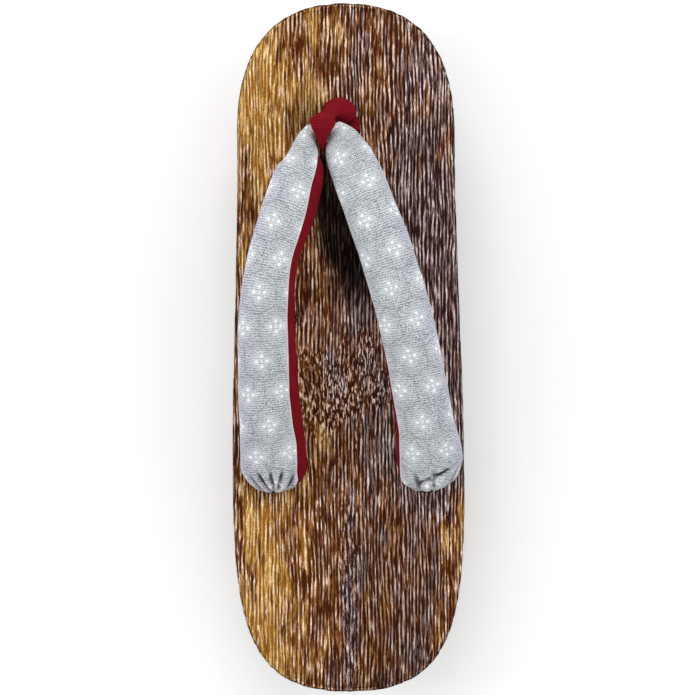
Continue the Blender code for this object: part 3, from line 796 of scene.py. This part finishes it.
def relief_modifier(base, settings):
    """Raises the brushed grain on the top and sides by real geometry, and keeps the flat places."""
    tree = bpy.data.node_groups.new("brushed_grain", "GeometryNodeTree")
    tree.interface.new_socket("Geometry", in_out="INPUT", socket_type="NodeSocketGeometry")
    tree.interface.new_socket("Geometry", in_out="OUTPUT", socket_type="NodeSocketGeometry")
    start = tree.nodes.new("NodeGroupInput")
    end = tree.nodes.new("NodeGroupOutput")
    spot = tree.nodes.new("GeometryNodeInputPosition").outputs[0]
    normal = tree.nodes.new("GeometryNodeInputNormal").outputs[0]
    keep = tree.nodes.new("GeometryNodeStoreNamedAttribute")
    keep.data_type = "FLOAT_VECTOR"
    keep.domain = "POINT"
    keep.inputs["Name"].default_value = "grain_spot"
    tree.links.new(spot, keep.inputs["Value"])
    height = grain_height(spot, settings.grain_pitch)[0]
    z = split(spot)[2]
    above = steps(z, TOOTH_HEIGHT + 0.0015, TOOTH_HEIGHT + 0.005)
    depth = times(minus(height, 1.0), settings.grain_relief)
    depth = times(depth, above)
    offset = add_node(tree, "ShaderNodeVectorMath", [normal, None, None, depth], operation="SCALE")
    tree.links.new(depth, offset.inputs["Scale"])
    move = tree.nodes.new("GeometryNodeSetPosition")
    tree.links.new(start.outputs[0], keep.inputs["Geometry"])
    tree.links.new(keep.outputs[0], move.inputs["Geometry"])
    tree.links.new(offset.outputs[0], move.inputs["Offset"])
    tree.links.new(move.outputs[0], end.inputs[0])
    step = base.modifiers.new("brushed_grain", "NODES")
    step.node_group = tree


def recess_top(y):
    """Height of a recess's flat top in the board's underside, which rises towards the toe."""
    front = TOE_Y - TOOTH_STATIONS[0]
    slope = (BOARD_THICKNESS - TOE_TIP_THICKNESS) / (TOE_Y - front)
    return TOOTH_HEIGHT + slope * max(0, y - front) + RECESS_DEPTH


def hole_cutter():
    """The three holes and the recesses below them as one turned cutter mesh."""
    form = bmesh.new()
    for x, y, radius in (
        (FRONT_HOLE_X, FRONT_HOLE_Y, FRONT_HOLE_RADIUS),
        (-REAR_HOLE_SPREAD, REAR_HOLE_Y, REAR_HOLE_RADIUS),
        (REAR_HOLE_SPREAD, REAR_HOLE_Y, REAR_HOLE_RADIUS),
    ):
        ceiling = recess_top(y)
        beyond = RECESS_DEPTH
        mouth = radius + HOLE_ROUNDING
        profile = [(mouth + beyond, BOARD_TOP + beyond), (mouth, BOARD_TOP)]
        profile += [
            (mouth - HOLE_ROUNDING * math.sin(a), BOARD_TOP - HOLE_ROUNDING * (1 - math.cos(a)))
            for a in (math.radians(30), math.radians(60))
        ]
        profile += [(radius, BOARD_TOP - HOLE_ROUNDING), (radius, ceiling), (RECESS_RADIUS, ceiling)]
        profile += [(RECESS_RADIUS, TOOTH_HEIGHT - beyond)]
        rings = []
        for r, z in profile:
            turns = spread(0, math.tau, 49)[:-1]
            rings.append([form.verts.new((x + r * math.cos(t), y + r * math.sin(t), z)) for t in turns])
        for above, below in zip(rings, rings[1:]):
            for i in range(len(above)):
                after = (i + 1) % len(above)
                form.faces.new((above[i], below[i], below[after], above[after]))
        form.faces.new(rings[0])
        form.faces.new(rings[-1][::-1])
    return finish_mesh("hole_cutter", form)


class GETA_OT_carve_base(bpy.types.Operator):
    """Carve the block with its brushed grain and bore its three holes"""
    bl_idname = "geta.carve_base"
    bl_label = "Carve base"

    def execute(self, context):
        settings = context.scene.geta_wood
        shape = place_object("base_shape", base_mesh())
        cutter = place_object("hole_cutter", hole_cutter())
        bore = shape.modifiers.new("holes", "BOOLEAN")
        bore.operation = "DIFFERENCE"
        bore.solver = "EXACT"
        bore.object = cutter
        relief_modifier(shape, settings)
        context.view_layer.update()
        shaped = shape.evaluated_get(context.evaluated_depsgraph_get())
        mesh = bpy.data.meshes.new_from_object(shaped)
        mesh.name = "carved_base"
        bpy.data.objects.remove(shape)
        bpy.data.objects.remove(cutter)
        mesh.shade_smooth()
        mesh.set_sharp_from_angle(angle=math.radians(50))
        add_piece("carved_base", mesh, scorched_wood(settings), "scorched_wood", "wood_base")
        return {"FINISHED"}


def pleat_depth(pleats, angle, place):
    """How far the gathered cloth is drawn in at an angle, most at the rounded rear end."""
    near = max(0.0, 1 - abs(place - PLEAT_MIDDLE) / PLEAT_REACH)
    pull = max(near * near * (3 - 2 * near), 0.22 * min(1.0, place) if place < PLEAT_MIDDLE else 0.0)
    drawn = 0.0
    for middle, half, deep, sweep in pleats:
        off = abs(angle - middle - sweep * (place - 1.5)) / (half * (0.7 + 0.3 * place))
        if off < 1:
            drawn += deep * (math.cos(off * math.pi) + 1) / 2
        elif off < 2:
            drawn -= 0.30 * deep * math.sin((off - 1) * math.pi)
    return drawn * pull


def fold_depth(fold, angle, place):
    """How far the cloth is tucked in along a fold that runs across the arm, with a ridge below it."""
    start, end, first, last, half, deep = fold
    share = (angle - start) / (end - start)
    if not 0 < share < 1:
        return 0.0
    off = (place - first - (last - first) * share) / half
    reach = deep * math.sin(share * math.pi) ** 0.7
    if abs(off) < 1:
        return reach * (math.cos(off * math.pi) + 1) / 2
    if -3 < off <= -1:
        return -0.35 * reach * math.sin((-off - 1) * math.pi / 2)
    return 0.0


def running(points):
    """The length along the points up to each one."""
    lengths = [0.0]
    for a, b in zip(points, points[1:]):
        lengths.append(lengths[-1] + (b - a).length)
    return lengths


def arm_mesh(name, rows, pleats, rings, seed):
    """One padded arm: its cloth cover rolled at both seams, its bed below, and its gathered end."""
    places = spread(0, len(rows) - 1, rings)
    outer = 180 + OUTER_SEAM_DROP
    made, cloth, creases = [], [], []
    sections = [arm_frame(rows, place) for place in places]
    lengths = running([section[0] for section in sections])
    for place, section, along in zip(places, sections, lengths):
        spot, _, _, _, thick, seam = section
        from_ends = min(place - LINED_FROM, LINED_TO - place) + 0.4
        lined = min(1.0, max(0.0, from_ends * 6))
        bed = (lined_inset(section) + GAP) * lined
        clear = math.degrees(2 * GAP / thick)
        angles = spread(seam + clear, outer - clear, 76)
        over = [skin_point(section, angle) for angle in angles]
        steps_across = running(over)
        top = min(range(len(angles)), key=lambda i: abs(angles[i] - 90))
        whole = steps_across[-1]
        ring, threads = [], []
        side = 1 if rows[0][0] > 0 else -1
        for point, angle, across in zip(over, angles, steps_across):
            out = (point - spot).normalized()
            edge = min(across, whole - across)
            roll = 0.00016 * math.exp(-(((edge - 0.0009) / 0.0006) ** 2))
            dent = -0.00012 * math.exp(-(((edge - 0.0022) / 0.0007) ** 2))
            lumps = noise.noise(point * 95 + Vector((seed, 0, 0))) * 0.00022
            lumps += noise.noise(point * 240 + Vector((0, seed, 0))) * 0.00008
            drawn = pleat_depth(pleats, angle, place)
            if side > 0:
                drawn += fold_depth(RIGHT_FOLD, angle, place)
            moved = (roll + dent) * lined + lumps - drawn
            creases.append(max(0.0, drawn / CREASE_DEPTH))
            ring.append(point + out * moved)
            threads.append((-side * (across - steps_across[top]), along, edge))
        under = spread(outer - clear, 360 + seam + clear, 26)
        for angle in under:
            ring.append(skin_point(section, angle, bed))
            threads.append((0.02, along, 0.0))
            creases.append(0.0)
        made.append(ring)
        cloth.append(threads)
    mouth = made[0]
    centre = arm_frame(rows, 0)[0]
    hole = Vector((math.copysign(REAR_HOLE_SPREAD, rows[0][0]), REAR_HOLE_Y, 0))
    stems, stem_cloth = [], []
    for depth, girth in ((BOARD_THICKNESS - RECESS_DEPTH, 1.0), (0.4 * BOARD_THICKNESS, 1.0),
                         (0.16 * BOARD_THICKNESS, 1.12)):
        height = BOARD_TOP - depth
        ring = []
        for point in mouth:
            arm = point - centre
            arm.z = 0
            ring.append(Vector((hole.x, hole.y, height)) + arm.normalized() * CORE_CORD_RADIUS * girth)
        stems.append(ring)
        stem_cloth.append([(x, height - BOARD_TOP, edge) for x, _, edge in cloth[0]])
    mesh = loft(name, stems + made, stem_cloth + cloth)
    creases = [0.0] * (len(stems) * len(mouth)) + creases
    mesh.attributes.new("crease", "FLOAT", "POINT").data.foreach_set("value", creases)
    return mesh


class GETA_OT_pad_arms(bpy.types.Operator):
    """Make the strap's two padded arms with their patterned cover and gathered ends"""
    bl_idname = "geta.pad_arms"
    bl_label = "Pad arms"

    def execute(self, context):
        settings = context.scene.geta_strap
        for name, rows, pleats, seed, lattice in (
            ("left_arm", LEFT_ARM, LEFT_PLEATS, 3.0, (1, math.radians(3), 0.0058, 0.0044, 1.0)),
            ("right_arm", RIGHT_ARM, RIGHT_PLEATS, 11.0, (-1, math.radians(2), 0.0072, 0.0048, 1.035)),
        ):
            mesh = arm_mesh(name, rows, pleats, settings.rings, seed)
            finish = pale_cloth(settings, name + "_cloth", *lattice)
            arm = add_piece(name, mesh, finish, "pale_cloth", "strap_upper")
        form = bmesh.new()
        turn = Matrix.Translation(WAIST) @ Matrix.Rotation(math.pi / 2, 4, "Y")
        bmesh.ops.create_cone(form, cap_ends=True, segments=40, radius1=WAIST_RADIUS,
                              radius2=WAIST_RADIUS, depth=WAIST_LENGTH, matrix=turn)
        waist = finish_mesh("waist_wrap", form)
        waist.shade_smooth()
        cover = bpy.data.materials["left_arm_cloth"]
        piece = add_piece("waist_wrap", waist, cover, "pale_cloth", "strap_upper")
        return {"FINISHED"}


class GETA_OT_line_arms(bpy.types.Operator):
    """Make the ribbed crimson lining under each arm"""
    bl_idname = "geta.line_arms"
    bl_label = "Line arms"

    def execute(self, context):
        finish = crimson_cloth(context.scene.geta_strap)
        for side, rows in (("left", LEFT_ARM), ("right", RIGHT_ARM)):
            rings, cloth = [], []
            sections = [arm_frame(rows, place) for place in spread(LINED_FROM, LINED_TO, 240)]
            for section, along in zip(sections, running([section[0] for section in sections])):
                angles = spread(180 + OUTER_SEAM_DROP, 360 + section[5], 30)
                under = [skin_point(section, angle) for angle in angles]
                over = [skin_point(section, angle, lined_inset(section)) for angle in reversed(angles)]
                rings.append(under + over)
                reach = running(under)
                cloth.append([(x, along, 0) for x in reach + reach[::-1]])
            name = side + "_lining"
            mesh = loft(name, rings, cloth)
            add_piece(name, mesh, finish, "crimson_cloth", "strap_lining_" + side)
        return {"FINISHED"}


def loop_route():
    """Rows of the toe loop: place, width and thickness, from one strand's end to the other's."""
    wrap = WAIST_RADIUS + GAP + LOOP_THICKNESS / 2
    strand = FRONT_HOLE_RADIUS - 2 * GAP
    foot = recess_top(FRONT_HOLE_Y)

    def in_hole(side, height):
        x = FRONT_HOLE_X + side * (strand + GAP) / 2
        return (x, FRONT_HOLE_Y, height, strand, HOLE_STRAND_DEPTH * strand)

    def above_hole(across, along, rise, width, thick):
        x, y = FRONT_HOLE_X + across * strand, FRONT_HOLE_Y + along * strand
        return x, y, BOARD_TOP + rise * WAIST_RISE, width * LOOP_WIDTH, thick * LOOP_THICKNESS

    def round_waist(turn, lean, reach, width, thick):
        angle = math.radians(turn)
        spot = WAIST + Vector((lean, math.cos(angle) * reach, math.sin(angle) * reach)) * wrap
        return (*spot, width * LOOP_WIDTH, thick * LOOP_THICKNESS)

    rows = [in_hole(-1, foot), in_hole(-1, BOARD_TOP)]
    rows += [above_hole(*row) for row in LEFT_STRAND]
    rows += [round_waist(*row) for row in LOOP_WRAP]
    rows += [above_hole(*row) for row in RIGHT_STRAND]
    return rows + [in_hole(1, BOARD_TOP), in_hole(1, foot)]


class GETA_OT_wrap_toe_loop(bpy.types.Operator):
    """Wrap the ribbed crimson loop round the strap's waist and down the front hole"""
    bl_idname = "geta.wrap_toe_loop"
    bl_label = "Wrap toe loop"

    def execute(self, context):
        settings = context.scene.geta_strap
        rows = loop_route()
        samples = [smooth_row(rows, place) for place in spread(0, len(rows) - 1, 460)]
        spots = [Vector(sample[:3]) for sample in samples]
        rings, cloth = [], []
        across = Vector((1, 0, 0))
        for index, (spot, along) in enumerate(zip(spots, running(spots))):
            width, thick = samples[index][3:]
            after = spots[min(index + 1, len(spots) - 1)]
            ahead = (after - spots[max(index - 1, 0)]).normalized()
            side = (across - ahead * across.dot(ahead)).normalized()
            out = ahead.cross(side)
            rib = 0.00007 * (math.cos(along * math.tau / settings.rib) - 1)
            ring, threads = [], []
            for turn in spread(0, math.tau, 41)[:-1]:
                arm = side * math.cos(turn) * (width / 2 + rib)
                arm += out * math.sin(turn) * (thick / 2 + rib)
                ring.append(spot + arm)
                threads.append((turn * (width + thick) / 4, along, 0))
            rings.append(ring)
            cloth.append(threads)
        mesh = loft("crimson_loop", rings, cloth)
        finish = bpy.data.materials["ribbed_crimson"]
        piece = add_piece("crimson_loop", mesh, finish, "crimson_cloth", "toe_loop")
        return {"FINISHED"}


class GETA_OT_tie_knots(bpy.types.Operator):
    """Tie the three twine knots in their recesses under the board"""
    bl_idname = "geta.tie_knots"
    bl_label = "Tie knots"

    def execute(self, context):
        finish = twine_finish()
        for name, node, x, y in (
            ("front_twine", "front_knot", FRONT_HOLE_X, FRONT_HOLE_Y),
            ("left_twine", "rear_knot_left", -REAR_HOLE_SPREAD, REAR_HOLE_Y),
            ("right_twine", "rear_knot_right", REAR_HOLE_SPREAD, REAR_HOLE_Y),
        ):
            centre = Vector((x, y, recess_top(y) - GAP - KNOT_CORD_RADIUS - KNOT_SPAN))
            points = []
            for t in spread(0, math.tau, 241)[:-1]:
                across = math.sin(t) + 2 * math.sin(2 * t)
                along = math.cos(t) - 2 * math.cos(2 * t)
                points.append(centre + KNOT_SPAN * Vector((across, along, -math.sin(3 * t))))
            rings, cloth = [], []
            for index, (spot, along) in enumerate(zip(points, running(points))):
                ahead = (points[(index + 1) % len(points)] - points[index - 1]).normalized()
                side = ahead.cross(Vector((0, 0, 1))).normalized()
                out = ahead.cross(side)
                ring, threads = [], []
                for turn in spread(0, math.tau, 25)[:-1]:
                    ply = 0.5 + 0.5 * math.cos(3 * (turn - index / len(points) * math.tau * 7))
                    reach = KNOT_CORD_RADIUS * (0.84 + 0.16 * math.sqrt(ply))
                    ring.append(spot + (side * math.cos(turn) + out * math.sin(turn)) * reach)
                    threads.append((turn * KNOT_CORD_RADIUS, along, ply))
                rings.append(ring)
                cloth.append(threads)
            mesh = loft(name, rings, cloth, closed=True)
            add_piece(name, mesh, finish, "twine", node)
        return {"FINISHED"}


def soft_light(name, place, size, power, tint=(1.0, 1.0, 1.0)):
    """A square studio light that looks at the sandal and that the camera doesn't see."""
    data = bpy.data.lights.new(name, "AREA")
    data.size = size
    data.energy = power
    data.color = tint
    light = place_object(name, data)
    light.location = place
    towards = Vector((0, 0, BOARD_TOP)) - Vector(place)
    light.rotation_euler = towards.to_track_quat("-Z", "Y").to_euler()
    light.visible_camera = False


class GETA_OT_set_stage(bpy.types.Operator):
    """Set the pale floor, the soft studio light and the camera straight above"""
    bl_idname = "geta.set_stage"
    bl_label = "Set stage"

    def execute(self, context):
        settings = context.scene.geta_stage
        form = bmesh.new()
        bmesh.ops.create_grid(form, x_segments=4, y_segments=4, size=6.0)
        mesh = finish_mesh("floor", form)
        floor = place_object("floor", mesh)
        made, tree, shader = make_material("pale_floor")
        spot = add_node(tree, "ShaderNodeTexCoord").outputs["Object"]
        light = steps(speckle(spot, 0.4, 0.4, 2.0), 0.3, 0.7, 0.985, 1.0)
        set_finish(tree, shader, shaded((0.97, 0.97, 0.97), light), 0.9)
        shader.inputs["Emission Color"].default_value = (1, 1, 1, 1)
        shader.inputs["Emission Strength"].default_value = 0.12
        mesh.materials.append(made)
        world = bpy.data.worlds.new("studio")
        world.use_nodes = True
        sky = world.node_tree.nodes["Background"]
        sky.inputs["Color"].default_value = (1, 1, 1, 1)
        sky.inputs["Strength"].default_value = 0.78 * settings.brightness
        context.scene.world = world
        power = settings.brightness
        soft_light("toe_side", (-0.10, 0.85, 0.95), 0.60, 3.0 * power)
        soft_light("left_side", (-1.05, 0.10, 0.85), 0.55, 4.4 * power)
        soft_light("right_side", (1.05, 0.30, 0.80), 0.55, 4.0 * power)
        context.scene.view_settings.view_transform = "Standard"
        data = bpy.data.cameras.new("camera")
        data.lens = data.sensor_width * settings.camera_distance / settings.picture_width
        data.clip_end = 20
        camera = place_object("camera", data)
        camera.location = (0, 0, BOARD_TOP + settings.camera_distance)
        camera.rotation_euler = (0, 0, settings.camera_roll)
        context.scene.camera = camera
        return {"FINISHED"}


class GETA_PT_panel(bpy.types.Panel):
    """Sizes, colours and pieces of the geta sandal"""
    bl_idname = "GETA_PT_panel"
    bl_label = "Geta sandal"
    bl_space_type = "VIEW_3D"
    bl_region_type = "UI"
    bl_category = "Geta"

    def draw(self, context):
        for title, group in (("Wood", "geta_wood"), ("Strap", "geta_strap"), ("Stage", "geta_stage")):
            box = self.layout.box()
            box.label(text=title)
            settings = getattr(context.scene, group)
            for name in settings.__annotations__:
                box.prop(settings, name)
        for operator in OPERATORS:
            self.layout.operator(operator.bl_idname)


OPERATORS = (
    GETA_OT_carve_base,
    GETA_OT_pad_arms,
    GETA_OT_line_arms,
    GETA_OT_wrap_toe_loop,
    GETA_OT_tie_knots,
    GETA_OT_set_stage,
)
CLASSES = (GetaWood, GetaStrap, GetaStage) + OPERATORS + (GETA_PT_panel,)


def register():
    for made in CLASSES:
        bpy.utils.register_class(made)
    bpy.types.Scene.geta_wood = PointerProperty(type=GetaWood)
    bpy.types.Scene.geta_strap = PointerProperty(type=GetaStrap)
    bpy.types.Scene.geta_stage = PointerProperty(type=GetaStage)


def unregister():
    del bpy.types.Scene.geta_wood
    del bpy.types.Scene.geta_strap
    del bpy.types.Scene.geta_stage
    for made in reversed(CLASSES):
        bpy.utils.unregister_class(made)


def main():
    register()
    bpy.ops.geta.carve_base()
    bpy.ops.geta.pad_arms()
    bpy.ops.geta.line_arms()
    bpy.ops.geta.wrap_toe_loop()
    bpy.ops.geta.tie_knots()
    bpy.ops.geta.set_stage()


if __name__ == "__main__":
    main()
